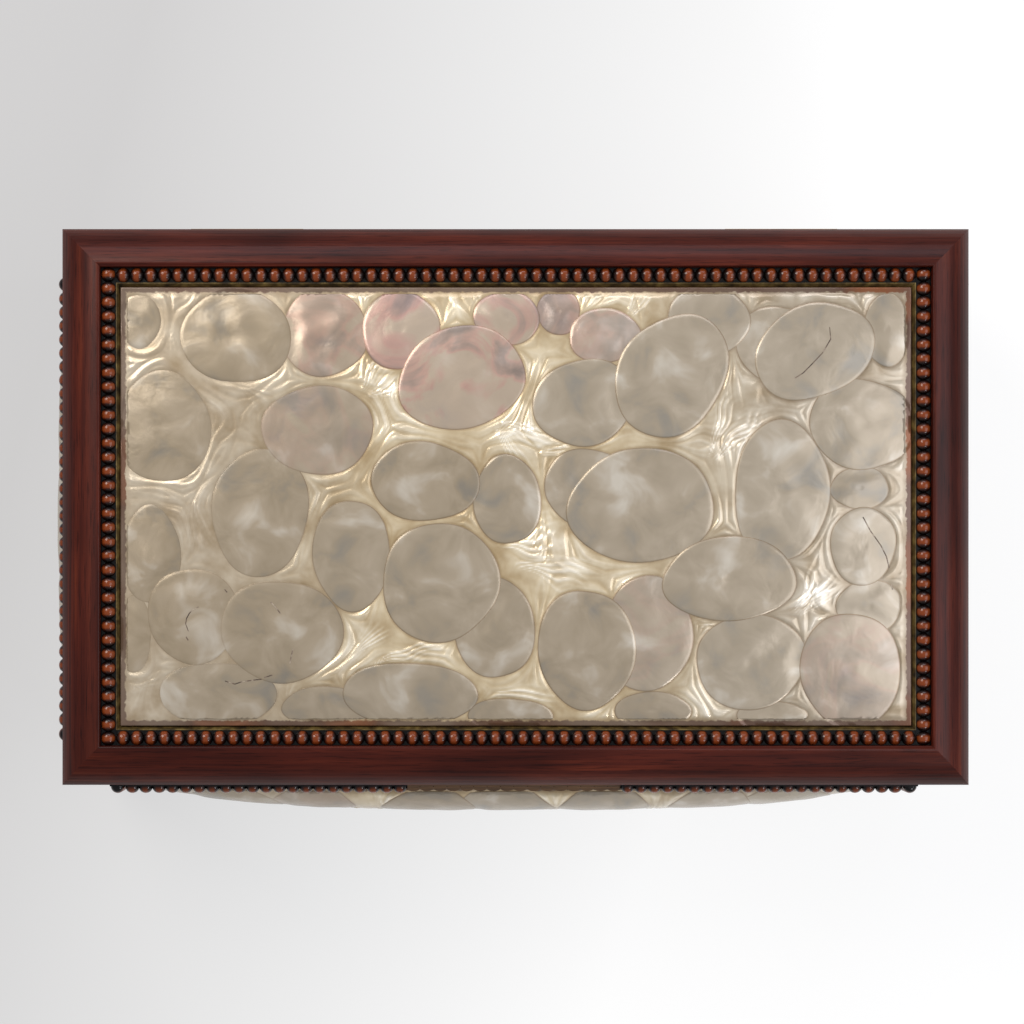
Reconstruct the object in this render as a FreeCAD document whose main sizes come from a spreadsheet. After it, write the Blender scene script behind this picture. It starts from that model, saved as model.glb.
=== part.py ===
import FreeCAD, Part
import math
import os
import Sketcher
from FreeCAD import Placement, Rotation, Vector

# Driving dimensions: millimetres and degrees
SIZES = {
    # Lid frame
    "lid_length": 300.0,
    "lid_width": 184.0,
    "lid_height": 24.0,
    "lid_setback": 0.2,
    "lid_gap": 0.3,
    "rail_face": 13.3,
    "cushion_radius": 15.0,
    "seat_depth": 5.0,
    "lid_lining_thickness": 4.0,
    "tongue_height": 9.0,
    "tongue_thickness": 4.0,
    "tongue_length": 4.5,
    "tongue_end_gap": 0.5,
    # Corner joints
    "key_across": 9.0,
    "key_along": 12.0,
    "key_thickness": 2.0,
    "key_height": 3.0,
    "key_inset": 9.5,
    "spline_across": 7.0,
    "spline_thickness": 2.0,
    "spline_lift": 2.0,
    "spline_stop": 6.0,
    "joint_clearance": 0.1,
    # Body
    "body_height": 88.0,
    "board_thickness": 10.0,
    "bottom_thickness": 5.0,
    "rebate_depth": 4.0,
    "baize_thickness": 1.0,
    "baize_inset": 2.0,
    "lining_thickness": 3.0,
    "lining_drop": 1.0,
    # Bead strips and slips round each shell panel
    "frame_top_margin": 2.2,
    "frame_bottom_margin": 14.0,
    "strip_width": 5.0,
    "bead_base": 1.6,
    "bead_radius": 2.4,
    "bead_waist": 0.8,
    "bead_pitch": 4.57,
    "bead_end_land": 0.05,
    "slip_width": 1.4,
    "slip_height": 2.2,
    "slip_edge": 0.2,
    # Domed shell panels
    "ground_edge": 1.0,
    "shell_thickness": 1.0,
    "shell_border": 2.3,
    "oval_rise": 0.6,
    "oval_bedding": 0.05,
    "oval_gap": 0.15,
    "smallest_oval": 30.0,
    "side_oval_pitch": 34.0,
    "lid_crown": 4.5,
    "front_crown": 10.0,
    "side_crown": 5.5,
    # Finger scoop planed into the front
    "scoop_length": 72.0,
    "scoop_flare": 2.0,
    "scoop_angle": 55.0,
    "scoop_reach": 0.6,
    # Stop butt hinges
    "hinge_length": 38.0,
    "hinge_spacing": 180.0,
    "hinge_outset": 0.2,
    "leaf_thickness": 1.2,
    "leaf_reach": 7.5,
    "knuckle_radius": 2.0,
    "knuckle_gap": 0.2,
    "knuckle_clearance": 0.3,
    "pin_radius": 0.9,
    "pin_clearance": 0.05,
    "screw_head_radius": 1.8,
    "screw_head_height": 0.8,
    "screw_radius": 1.0,
    "screw_length": 9.0,
    "screw_point": 2.0,
    "screw_pitch": 13.0,
    "screw_slot_width": 0.5,
    "screw_slot_depth": 0.4,
    "screw_clearance": 0.08,
}

# Length and width of the lid's shell panel that its ovals are drawn for
LID_OVAL_FIELD = (260.4, 144.4)
# Ovals of shell on the lid: centre, two half axes and tilt, from the lid's middle.
# An oval earlier in the list lies over a later one that it meets.
LID_OVALS = [
    # Right half
    (70, -24, 22, 14, 0),
    (87, 5, 16, 23, 0),
    (98, 51, 21, 15, 25),
    (51, 43, 22, 17, 60),
    (41, 0, 24, 19, 0),
    (114, 27, 18, 15, 0),
    (114, -13, 11, 13, 0),
    (110, -54, 17, 19, 0),
    (77, -51, 18, 16, 0),
    (22, 34, 17, 14, 20),
    # Middle
    (-18, 42, 21, 17, 10),
    (-38, 58, 13, 13, 0),
    (29, 56, 12, 9, 0),
    (-30, 8, 18, 13, 0),
    (-3, 2, 11, 15, 0),
    (-25, -25, 19, 20, 0),
    (23, -47, 16, 20, 0),
    (-7, -40, 13, 17, 0),
    # Left half
    (-54, -16, 13, 18, 0),
    (-65, 25, 18, 15, 0),
    (-84, -2, 16, 21, 0),
    (-77, -41, 20, 17, 0),
    (-116, 26, 16, 18, 0),
    (-92, 56, 18, 16, 0),
    (-63, 57, 14, 15, 0),
    (-106, -36, 15, 16, 0),
    (-120, -16, 10, 16, 0),
    (-98, -62, 19, 11, 0),
    (-35, -62, 22, 11, 0),
    # Half hidden under their neighbours
    (24, 6, 15, 13, 0),
    (43, -42, 15, 19, 0),
    (116, -33, 11, 9, 0),
    (63, 61, 14, 12, 0),
    (87, 53, 15, 13, 0),
    (-3, 62, 11, 9, 0),
    # Along the edges
    (-2, -69, 14, 6, 0),
    (45, -67, 13, 6, 0),
    (84, -69, 12, 5, 0),
    (-124, 61, 7, 9, 0),
    (122, 58, 8, 12, 0),
    (113, 6, 10, 7, 0),
    (14, 64, 7, 8, 0),
    (-62, -66, 15, 7, 0),
    (-126, -42, 6, 13, 0),
]

# Sizes worked out from the driving ones
BODY_LENGTH = "(sizes.lid_length + 2 * sizes.lid_setback)"
BODY_WIDTH = "(sizes.lid_width + 2 * sizes.lid_setback)"
INNER_LENGTH = f"({BODY_LENGTH} - 2 * sizes.board_thickness)"
INNER_WIDTH = f"({BODY_WIDTH} - 2 * sizes.board_thickness)"
RIM = "(sizes.baize_thickness + sizes.body_height)"
FLOOR = "(sizes.baize_thickness + sizes.bottom_thickness)"
LID_BASE = f"({RIM} + sizes.lid_gap)"
LID_SEAT = f"({LID_BASE} + sizes.lid_height - sizes.seat_depth)"
RAIL_WIDTH = "(sizes.rail_face + sizes.strip_width + sizes.slip_width)"
FRAME_LENGTH = "(sizes.lid_length - 2 * sizes.rail_face)"
FRAME_WIDTH = "(sizes.lid_width - 2 * sizes.rail_face)"
FRAME_HEIGHT = "(sizes.body_height - sizes.frame_top_margin - sizes.frame_bottom_margin)"
FRAME_MIDDLE = f"(sizes.baize_thickness + sizes.frame_bottom_margin + {FRAME_HEIGHT} / 2)"
TWICE_BORDER = "2 * (sizes.strip_width + sizes.slip_width + sizes.joint_clearance)"
HINGE_Y = f"({BODY_WIDTH} / 2 + sizes.hinge_outset)"
HINGE_Z = f"({RIM} + sizes.lid_gap / 2)"
HINGE_RECESS = "(sizes.knuckle_radius + sizes.knuckle_clearance)"
LEAF_WIDTH = f"(sizes.leaf_reach - {HINGE_RECESS})"
LEAF_MIDDLE_Y = f"({HINGE_Y} - sizes.leaf_reach + {LEAF_WIDTH} / 2)"
KNUCKLES = 5
SCREWS_PER_LEAF = 3
X_AXIS = Vector(1, 0, 0)
Y_AXIS = Vector(0, 1, 0)
Z_AXIS = Vector(0, 0, 1)

doc = FreeCAD.newDocument("inlaid_box")
sheet = doc.addObject("Spreadsheet::Sheet", "sizes")
for row, (alias, number) in enumerate(SIZES.items(), start=1):
    sheet.set(f"A{row}", alias.replace("_", " "))
    sheet.set(f"B{row}", str(number))
    sheet.setAlias(f"B{row}", alias)
doc.recompute()

nodes = []


def value(expression):
    """Number that an expression over the sheet stands for."""
    return float(sheet.evalExpression(expression))


def bind(thing, sizes):
    """Tie properties of an object to expressions over the sheet."""
    for name, expression in sizes.items():
        thing.setExpression(name, expression)


def node(thing, label):
    """Count a finished object as one named piece of the box."""
    thing.Label = label
    nodes.append(thing)
    return thing


def solid(name, shape, placement=None):
    """Document object for a shape that no ready-made feature gives."""
    thing = doc.addObject("Part::Feature", name)
    thing.Shape = shape
    if placement is not None:
        thing.Placement = placement
    return thing


def block(name, length, width, height, x, y, z, turn=0):
    """Box centred on x and y in plan, standing on z, turned about its own middle."""
    thing = doc.addObject("Part::Box", name)
    thing.Placement = Placement(Vector(), Rotation(Z_AXIS, turn))
    along = f"cos({turn} deg)"
    aside = f"sin({turn} deg)"
    bind(thing, {
        "Length": length,
        "Width": width,
        "Height": height,
        "Placement.Base.x": f"{x} - {length} / 2 * {along} + {width} / 2 * {aside}",
        "Placement.Base.y": f"{y} - {length} / 2 * {aside} - {width} / 2 * {along}",
        "Placement.Base.z": z,
    })
    return thing


def rod(name, radius, length, x, y, z, across=False):
    """Cylinder from a point, upright or lying along X."""
    thing = doc.addObject("Part::Cylinder", name)
    if across:
        thing.Placement = Placement(Vector(), Rotation(Y_AXIS, 90))
    bind(thing, {
        "Radius": radius,
        "Height": length,
        "Placement.Base.x": x,
        "Placement.Base.y": y,
        "Placement.Base.z": z,
    })
    return thing


def joined(name, pieces):
    """Several objects fused into one."""
    thing = doc.addObject("Part::MultiFuse", name)
    thing.Shapes = pieces
    return thing


def group(name, pieces):
    """Several separate objects kept together."""
    thing = doc.addObject("Part::Compound", name)
    thing.Links = pieces
    return thing


def cut(name, base, tools):
    """One object with others taken out of it."""
    thing = doc.addObject("Part::Cut", name)
    thing.Base = base
    thing.Tool = tools[0] if len(tools) == 1 else joined(f"{name}_tools", tools)
    return thing


def outline(body, name, role, loops, arcs=None):
    """Sketch of closed loops whose corners are expressions; arcs maps a segment to its radius."""
    arcs = arcs or {}
    sketch = body.newObject("Sketcher::SketchObject", name)
    plane = next(item for item in body.Origin.OriginFeatures if item.Role == role)
    sketch.AttachmentSupport = [(plane, "")]
    sketch.MapMode = "FlatFace"
    first = 0
    for corners in loops:
        count = len(corners)
        spots = [Vector(value(across), value(up), 0) for across, up in corners]
        for index in range(count):
            start = spots[index]
            end = spots[(index + 1) % count]
            if first + index in arcs:
                sketch.addGeometry(bulge(start, end, value(arcs[first + index])))
            else:
                sketch.addGeometry(Part.LineSegment(start, end))
        for index, corner in enumerate(corners):
            segment = first + index
            following = first + (index + 1) % count
            sketch.addConstraint(Sketcher.Constraint("Coincident", segment, 2, following, 1))
            pin_corner(sketch, segment, corner)
        first += count
    for segment, radius in arcs.items():
        hold(sketch, Sketcher.Constraint("Radius", segment, value(radius)), radius, f"radius{segment}")
    return sketch


def bulge(start, end, radius):
    """Arc between two points, turning left about a centre on the left of the way."""
    chord = end - start
    middle = (start + end) * 0.5
    left = Vector(-chord.y, chord.x, 0).normalize()
    centre = middle + left * math.sqrt(radius ** 2 - chord.Length ** 2 / 4)
    circle = Part.Circle(centre, Z_AXIS, radius)
    return Part.ArcOfCircle(circle, circle.parameter(start), circle.parameter(end))


def pin_corner(sketch, segment, corner):
    """Hold the start of a segment at its two expressions."""
    axes = {"DistanceX": -2, "DistanceY": -1}
    for (kind, axis), expression in zip(axes.items(), corner):
        if expression == "0":
            sketch.addConstraint(Sketcher.Constraint("PointOnObject", segment, 1, axis))
        else:
            rule = Sketcher.Constraint(kind, -1, 1, segment, 1, value(expression))
            hold(sketch, rule, expression, f"{kind}{segment}")


def hold(sketch, rule, expression, name):
    """Add a measured constraint and tie it to its expression."""
    index = sketch.addConstraint(rule)
    sketch.renameConstraint(index, name)
    sketch.setExpression(f"Constraints.{name}", expression)


def pad(body, name, sketch, length, both_ways=False):
    """Sketch drawn out to a thickness."""
    feature = body.newObject("PartDesign::Pad", name)
    feature.Profile = sketch
    feature.SideType = "Symmetric" if both_ways else "One side"
    feature.setExpression("Length", length)
    body.Tip = feature
    return feature


def mitred_board(name, corners):
    """Upright board of the body, drawn in plan with its two mitres."""
    body = doc.addObject("PartDesign::Body", name)
    pad(body, f"{name}_pad", outline(body, f"{name}_plan", "XY_Plane", [corners]), "sizes.body_height")
    bind(body, {"Placement.Base.z": "sizes.baize_thickness"})
    return body


def corner_plates(name, reach_x, reach_y, across, along, thickness, z):
    """Four plates, each standing square across one mitre."""
    plates = []
    for side in (-1, 1):
        for end in (-1, 1):
            turn = -45 * side * end
            label = f"{name}_{len(plates)}"
            plates.append(block(label, across, along, thickness,
                                f"{side} * {reach_x}", f"{end} * {reach_y}", z, turn))
    return plates


def grown(expression, share=1):
    """A size with the joint clearance on both sides."""
    return f"({expression} + {2 * share} * sizes.joint_clearance)"


# Hinges: where they stand, and the room they need in the body and the lid
hinge_places = {
    "left": "(-sizes.hinge_spacing / 2)",
    "right": "(sizes.hinge_spacing / 2)",
}


def screw_places():
    """Plan position of every screw of one set of leaves."""
    spots = []
    for middle in hinge_places.values():
        for number in range(SCREWS_PER_LEAF):
            step = number - (SCREWS_PER_LEAF - 1) / 2
            spots.append(f"({middle} + {step} * sizes.screw_pitch)")
    return spots


def hinge_housing(owner, leaf_bottom, screw_bottom):
    """Mortises, knuckle recesses and screw holes for one side of the hinges."""
    tools = []
    for side, middle in hinge_places.items():
        width = f"(sizes.leaf_reach + sizes.joint_clearance + {HINGE_RECESS})"
        tools.append(block(f"{owner}_{side}_mortise", grown("sizes.hinge_length"), width,
                           grown("sizes.leaf_thickness"), middle,
                           f"({HINGE_Y} - sizes.leaf_reach - sizes.joint_clearance + {width} / 2)",
                           f"({leaf_bottom} - sizes.joint_clearance)"))
        tools.append(rod(f"{owner}_{side}_recess", HINGE_RECESS, grown("sizes.hinge_length"),
                         f"({middle} - {grown('sizes.hinge_length')} / 2)", HINGE_Y, HINGE_Z, across=True))
    for number, x in enumerate(screw_places()):
        tools.append(rod(f"{owner}_screw_hole_{number}", "(sizes.screw_radius + sizes.screw_clearance)",
                         "(sizes.screw_length + sizes.screw_clearance)", x, LEAF_MIDDLE_Y, screw_bottom))
    return tools


# Body: four mitred boards, loose splines, a bottom in a rebate, baize under it
def build_body():
    half_l = f"({BODY_LENGTH} / 2)"
    half_w = f"({BODY_WIDTH} / 2)"
    in_l = f"({INNER_LENGTH} / 2)"
    in_w = f"({INNER_WIDTH} / 2)"
    plans = {
        "front": [(f"-{half_l}", f"-{half_w}"), (half_l, f"-{half_w}"), (in_l, f"-{in_w}"),
                  (f"-{in_l}", f"-{in_w}")],
        "back": [(f"-{in_l}", in_w), (in_l, in_w), (half_l, half_w), (f"-{half_l}", half_w)],
        "left": [(f"-{half_l}", f"-{half_w}"), (f"-{in_l}", f"-{in_w}"), (f"-{in_l}", in_w),
                 (f"-{half_l}", half_w)],
        "right": [(in_l, f"-{in_w}"), (half_l, f"-{half_w}"), (half_l, half_w), (in_l, in_w)],
    }
    rebate = block("bottom_rebate", f"({INNER_LENGTH} + 2 * sizes.rebate_depth)",
                   f"({INNER_WIDTH} + 2 * sizes.rebate_depth)", "sizes.bottom_thickness",
                   "0", "0", "sizes.baize_thickness")
    reach_x = f"({half_l} - sizes.board_thickness / 2)"
    reach_y = f"({half_w} - sizes.board_thickness / 2)"
    spline_z = f"({FLOOR} + sizes.spline_lift)"
    spline_tall = f"({RIM} - sizes.spline_stop - {spline_z})"
    slots = corner_plates("spline_slot", reach_x, reach_y, grown("sizes.spline_across"),
                          grown("sizes.spline_thickness"), grown(spline_tall),
                          f"({spline_z} - sizes.joint_clearance)")
    splines = corner_plates("spline", reach_x, reach_y, "sizes.spline_across",
                            "sizes.spline_thickness", spline_tall, spline_z)
    node(group("splines", splines), "body_corner_splines")
    extra = {
        "front": [scoop()],
        "back": hinge_housing("body", f"({RIM} - sizes.leaf_thickness)",
                              f"({RIM} - sizes.screw_length - sizes.screw_clearance)"),
    }
    for side, corners in plans.items():
        board = mitred_board(f"{side}_board_blank", corners)
        tools = [rebate] + slots + extra.get(side, [])
        node(cut(f"{side}_board", board, tools), f"body_{side}_board")
    node(block("bottom", f"({INNER_LENGTH} + 2 * sizes.rebate_depth - 2 * sizes.joint_clearance)",
               f"({INNER_WIDTH} + 2 * sizes.rebate_depth - 2 * sizes.joint_clearance)",
               "sizes.bottom_thickness", "0", "0", "sizes.baize_thickness"), "base_board")
    node(block("baize", f"({BODY_LENGTH} - 2 * sizes.baize_inset)", f"({BODY_WIDTH} - 2 * sizes.baize_inset)",
               "sizes.baize_thickness", "0", "0", "0"), "base_baize")


def scoop():
    """Sloping cut that starts under the lid's front edge and runs out through the beads."""
    tool = doc.addObject("Part::Wedge", "scoop_cutter")
    tool.Placement = Placement(Vector(), Rotation(X_AXIS, 90))
    length = "sizes.scoop_length / 2"
    run_out = "(sizes.lid_setback + sizes.scoop_reach + sizes.bead_base + sizes.bead_radius) * 2"
    bind(tool, {
        "Placement.Rotation.Angle": "(90 + sizes.scoop_angle) * 1 deg",
        "Placement.Base.y": "-sizes.lid_width / 2 + sizes.scoop_reach",
        "Placement.Base.z": RIM,
        "Xmin": f"-{length}",
        "Xmax": length,
        "X2min": f"-{length} - sizes.scoop_flare",
        "X2max": f"{length} + sizes.scoop_flare",
        "Ymin": "0",
        "Ymax": run_out,
        "Zmin": "0",
        "Zmax": run_out,
        "Z2min": "0",
        "Z2max": run_out,
    })
    return tool


# Thin cedar boards that line the inside
def build_lining():
    clear = "2 * sizes.joint_clearance"
    length = f"({INNER_LENGTH} - {clear})"
    width = f"({INNER_WIDTH} - {clear})"
    thick = "sizes.lining_thickness"
    node(block("floor", length, width, thick, "0", "0", FLOOR), "lining_floor")
    base = f"({FLOOR} + {thick})"
    tall = f"({RIM} - sizes.lining_drop - {base})"
    between = f"({width} - 2 * {thick} - {clear})"
    for side, sign in (("front", -1), ("back", 1)):
        node(block(f"{side}_lining", length, thick, tall, "0", f"{sign} * ({width} - {thick}) / 2", base),
             f"lining_{side}")
    for side, sign in (("left", -1), ("right", 1)):
        node(block(f"{side}_lining", thick, between, tall, f"{sign} * ({length} - {thick}) / 2", "0", base),
             f"lining_{side}")


# A shell panel's own frame: along, up and out, with its middle on the face that carries it
class Panel:
    def __init__(self, name, along, up, origin, length, height, crown, ground_depth):
        self.name = name
        self.along = along
        self.up = up
        self.out = along.cross(up)
        self.origin = origin
        self.frame_length = length
        self.frame_height = height
        self.length = f"({length} - {TWICE_BORDER})"
        self.height = f"({height} - {TWICE_BORDER})"
        self.crown = crown
        self.ground_depth = ground_depth

    def spot(self, x, y, z):
        """Expressions of a place given along, up and out of the panel."""
        parts = []
        for axis in range(3):
            terms = [self.origin[axis]]
            for amount, direction in ((x, self.along), (y, self.up), (z, self.out)):
                if round(direction[axis]):
                    terms.append(f"{round(direction[axis])} * ({amount})")
            parts.append(" + ".join(terms))
        return parts

    def placement(self, x="0", y="0", z="0", turn=0):
        """The same place in numbers, for shapes made in the panel's own frame."""
        base = Vector(*[value(part) for part in self.spot(x, y, z)])
        axes = Rotation(self.along, self.up, self.out, "XYZ")
        return Placement(base, axes.multiply(Rotation(Z_AXIS, turn)))


DOME_POLES = 9


def dome(length, width, crown):
    """Cushion-shaped sheet that rises to its crown and stays level along its four edges."""
    surface = Part.BezierSurface()
    surface.increase(DOME_POLES - 1, DOME_POLES - 1)
    middle_share = 1 - 2 * 0.5 ** (DOME_POLES - 1)
    lift = crown / middle_share ** 2
    last = DOME_POLES - 1
    for column in range(DOME_POLES):
        for rank in range(DOME_POLES):
            inside = 0 < column < last and 0 < rank < last
            pole = Vector((column / last - 0.5) * length, (rank / last - 0.5) * width, lift if inside else 0)
            surface.setPole(column + 1, rank + 1, pole)
    return surface.toShape()


def layer(sheet_face, low, high):
    """Solid between two heights over a domed sheet."""
    return sheet_face.translated(Z_AXIS * low).extrude(Z_AXIS * (high - low))


def oval_face(oval, grow):
    """Flat ellipse of one oval, made larger all round by grow."""
    x, y, half_x, half_y, tilt = oval
    turn = tilt if half_x >= half_y else tilt + 90
    ellipse = Part.Ellipse(Vector(), max(half_x, half_y) + grow, min(half_x, half_y) + grow)
    face = Part.Face(Part.Wire(ellipse.toShape()))
    face.Placement = Placement(Vector(x, y, 0), Rotation(Z_AXIS, turn))
    return face


def lid_ovals(length, width):
    """The lid's ovals, spread to fill a panel of this length and width."""
    along = length / LID_OVAL_FIELD[0]
    aside = width / LID_OVAL_FIELD[1]
    ovals = []
    for x, y, half_x, half_y, tilt in LID_OVALS:
        ovals.append((x * along, y * aside, half_x * along, half_y * aside, tilt))
    return ovals


def side_ovals(length, height):
    """Two staggered rows of uneven ovals for a front or side panel."""
    columns = max(2, round(length / value("sizes.side_oval_pitch")))
    pitch = length / columns
    ovals = []
    for rank in (0, 1):
        for column in range(columns + rank):
            step = len(ovals)
            x = (column + 0.5 - 0.5 * rank + 0.12 * math.sin(2.4 * step)) * pitch - length / 2
            y = (rank - 0.5) * height / 2 + 0.05 * height * math.sin(3.1 * step + 1)
            half_x = pitch * (0.5 + 0.05 * math.sin(1.7 * step))
            half_y = height * (0.26 + 0.03 * math.cos(2.9 * step))
            ovals.append((x, y, half_x, half_y, 18 * math.sin(5.1 * step)))
    return ovals


def oval_outlines(ovals, length, height):
    """Flat outlines of the ovals inside the border, each cut back where an earlier one lies over it."""
    border = value("sizes.shell_border")
    window = Part.makePlane(length - 2 * border, height - 2 * border,
                            Vector(border - length / 2, border - height / 2, 0))
    covers = []
    faces = []
    for oval in ovals:
        piece = window.common(oval_face(oval, 0))
        near = [cover for cover in covers if cover.BoundBox.intersect(piece.BoundBox)]
        if near:
            piece = piece.cut(near)
        covers.append(oval_face(oval, value("sizes.oval_gap")))
        faces += [part for part in piece.Faces if part.Area > value("sizes.smallest_oval")]
    return faces


def build_shell(panel, ovals):
    """Domed wooden ground, the shell sheet glued on it, and the ovals of shell laid on the sheet."""
    length = value(panel.length)
    height = value(panel.height)
    crown = value(panel.crown)
    depth = value(panel.ground_depth)
    edge = value("sizes.ground_edge")
    top = edge + value("sizes.shell_thickness")
    bed = top + value("sizes.oval_bedding")
    tall = crown + bed + value("sizes.oval_rise") + depth
    face = dome(length, height, crown)

    room = Part.makeBox(length * 2, height * 2, tall * 2, Vector(-length, -height, -depth))
    ground = layer(face, edge - tall, edge).common(room)
    if depth > 0:
        ground = ground.fuse(tongue(length, height))
    node(solid(f"{panel.name}_ground", ground, panel.placement()), f"{panel.name}_panel_ground")
    node(solid(f"{panel.name}_sheet", layer(face, edge, top), panel.placement()), f"{panel.name}_shell_sheet")

    upright = Z_AXIS * (2 * tall)
    outlines = oval_outlines(ovals, length, height)
    prisms = Part.makeCompound([part.translated(-Z_AXIS * tall).extrude(upright) for part in outlines])
    inlay = layer(face, bed, bed + value("sizes.oval_rise")).common(prisms)
    node(solid(f"{panel.name}_ovals", inlay, panel.placement()), f"{panel.name}_shell_ovals")


def tongue(length, height):
    """Tongue round the lid's ground board that runs in the grooves of the rails."""
    reach = value("sizes.tongue_length")
    low = value(f"{LID_BASE} + sizes.tongue_height - {LID_SEAT}")
    return Part.makeBox(length + 2 * reach, height + 2 * reach, value("sizes.tongue_thickness"),
                        Vector(-length / 2 - reach, -height / 2 - reach, low))


# How soon a bead's profile rises from the waist beside it, as a share of the pitch
BEAD_SHOULDER = 0.12


def bead_strip(length):
    """Straight bar with a row of half beads turned along its top."""
    base = value("sizes.bead_base")
    width = value("sizes.strip_width")
    land = value("sizes.bead_end_land")
    waist = value("sizes.bead_waist")
    top = value("sizes.bead_radius")
    count = max(1, round(length / value("sizes.bead_pitch")))
    pitch = (length - 2 * land) / count
    start = land - length / 2
    edges = []
    shoulder = BEAD_SHOULDER * pitch
    handle = (4 * top - waist) / 3
    for number in range(count):
        near = start + number * pitch
        far = near + pitch
        curve = Part.BezierCurve()
        curve.setPoles([Vector(near, waist, base), Vector(near + shoulder, handle, base),
                        Vector(far - shoulder, handle, base), Vector(far, waist, base)])
        edges.append(curve.toShape())
    for one, two in (((-start, waist), (-start, 0)), ((-start, 0), (start, 0)), ((start, 0), (start, waist))):
        edges.append(Part.makeLine(Vector(*one, base), Vector(*two, base)))
    half_turn = 180
    beads = Part.Face(Part.Wire(edges)).revolve(Vector(0, 0, base), X_AXIS, half_turn)
    flats = [face for face in beads.Faces if face.BoundBox.ZLength < land]
    rounds = [face for face in beads.Faces if face.BoundBox.ZLength >= land]
    rim = [edge for face in flats for edge in face.Edges if edge.Length < length / 2]
    bar = Part.makeBox(length, width, base, Vector(-length / 2, -width / 2, 0))
    top_face = max(bar.Faces, key=lambda face: face.CenterOfMass.z)
    others = [face for face in bar.Faces if not face.isSame(top_face)]
    deck = Part.Face([top_face.OuterWire, Part.Wire(Part.__sortEdges__(rim))])
    skin = Part.makeCompound(rounds + others + [deck])
    skin.sewShape()
    return Part.Solid(skin.Shells[0])


def build_frame(panel):
    """Four bead strips and the bevelled slip inside them."""
    length = value(panel.frame_length)
    height = value(panel.frame_height)
    gap = value("sizes.joint_clearance")
    width = value("sizes.strip_width")
    off_x = f"({panel.frame_length} - sizes.strip_width) / 2"
    off_y = f"({panel.frame_height} - sizes.strip_width) / 2"
    ends = {"lid": ("front", "back")}.get(panel.name, ("bottom", "top"))
    rows = bead_strip(length - 2 * width - 2 * gap)
    columns = bead_strip(height)
    for side, y in zip(ends, (f"-{off_y}", off_y)):
        strip = solid(f"{panel.name}_{side}_beads", rows, panel.placement("0", y))
        if panel.name == "front" and side == "top":
            strip = cut("front_scooped_beads", strip, [doc.getObject("scoop_cutter")])
        node(strip, f"{panel.name}_beads_{side}")
    for side, x in (("left", f"-{off_x}"), ("right", off_x)):
        strip = solid(f"{panel.name}_{side}_beads", columns, panel.placement(x, "0", turn=90))
        node(strip, f"{panel.name}_beads_{side}")
    build_slip(panel)


def build_slip(panel):
    """Gilt slip: a flat frame whose inner faces slope down to the shell."""
    outer_x = f"({panel.length} + 2 * sizes.slip_width)"
    outer_y = f"({panel.height} + 2 * sizes.slip_width)"
    plate = doc.addObject("Part::Box", f"{panel.name}_slip_plate")
    plate.Placement = Placement(Vector(), Rotation(panel.along, panel.up, panel.out, "XYZ"))
    corner = panel.spot(f"-{outer_x} / 2", f"-{outer_y} / 2", "0")
    bind(plate, dict(zip(("Placement.Base.x", "Placement.Base.y", "Placement.Base.z"), corner)))
    bind(plate, {"Length": outer_x, "Width": outer_y, "Height": "sizes.slip_height"})
    hole = doc.addObject("Part::Wedge", f"{panel.name}_slip_opening")
    hole.Placement = Placement(Vector(), Rotation(panel.along, panel.out, -panel.up, "XYZ"))
    middle = panel.spot("0", "0", "0")
    bind(hole, dict(zip(("Placement.Base.x", "Placement.Base.y", "Placement.Base.z"), middle)))
    low_x = f"({panel.length} / 2 + sizes.joint_clearance)"
    low_y = f"({panel.height} / 2 + sizes.joint_clearance)"
    top_x = f"({outer_x} / 2 - sizes.slip_edge)"
    top_y = f"({outer_y} / 2 - sizes.slip_edge)"
    bind(hole, {
        "Ymin": "0", "Ymax": "sizes.slip_height",
        "Xmin": f"-{low_x}", "Xmax": low_x, "Zmin": f"-{low_y}", "Zmax": low_y,
        "X2min": f"-{top_x}", "X2max": top_x, "Z2min": f"-{top_y}", "Z2max": top_y,
    })
    node(cut(f"{panel.name}_slip", plate, [hole]), f"{panel.name}_slip")


def build_panels():
    """The lid's panel and those of the front and the two sides."""
    half_l = f"{BODY_LENGTH} / 2"
    half_w = f"{BODY_WIDTH} / 2"
    lid_depth = f"({LID_SEAT} - {LID_BASE} - sizes.lid_lining_thickness)"
    panels = [
        Panel("lid", X_AXIS, Y_AXIS, ("0", "0", LID_SEAT), FRAME_LENGTH, FRAME_WIDTH,
              "sizes.lid_crown", lid_depth),
        Panel("front", X_AXIS, Z_AXIS, ("0", f"-{half_w}", FRAME_MIDDLE), FRAME_LENGTH, FRAME_HEIGHT,
              "sizes.front_crown", "0"),
        Panel("left", -Y_AXIS, Z_AXIS, (f"-{half_l}", "0", FRAME_MIDDLE), FRAME_WIDTH, FRAME_HEIGHT,
              "sizes.side_crown", "0"),
        Panel("right", Y_AXIS, Z_AXIS, (half_l, "0", FRAME_MIDDLE), FRAME_WIDTH, FRAME_HEIGHT,
              "sizes.side_crown", "0"),
    ]
    for panel in panels:
        layout = lid_ovals if panel.name == "lid" else side_ovals
        build_shell(panel, layout(value(panel.length), value(panel.height)))
        build_frame(panel)


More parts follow.
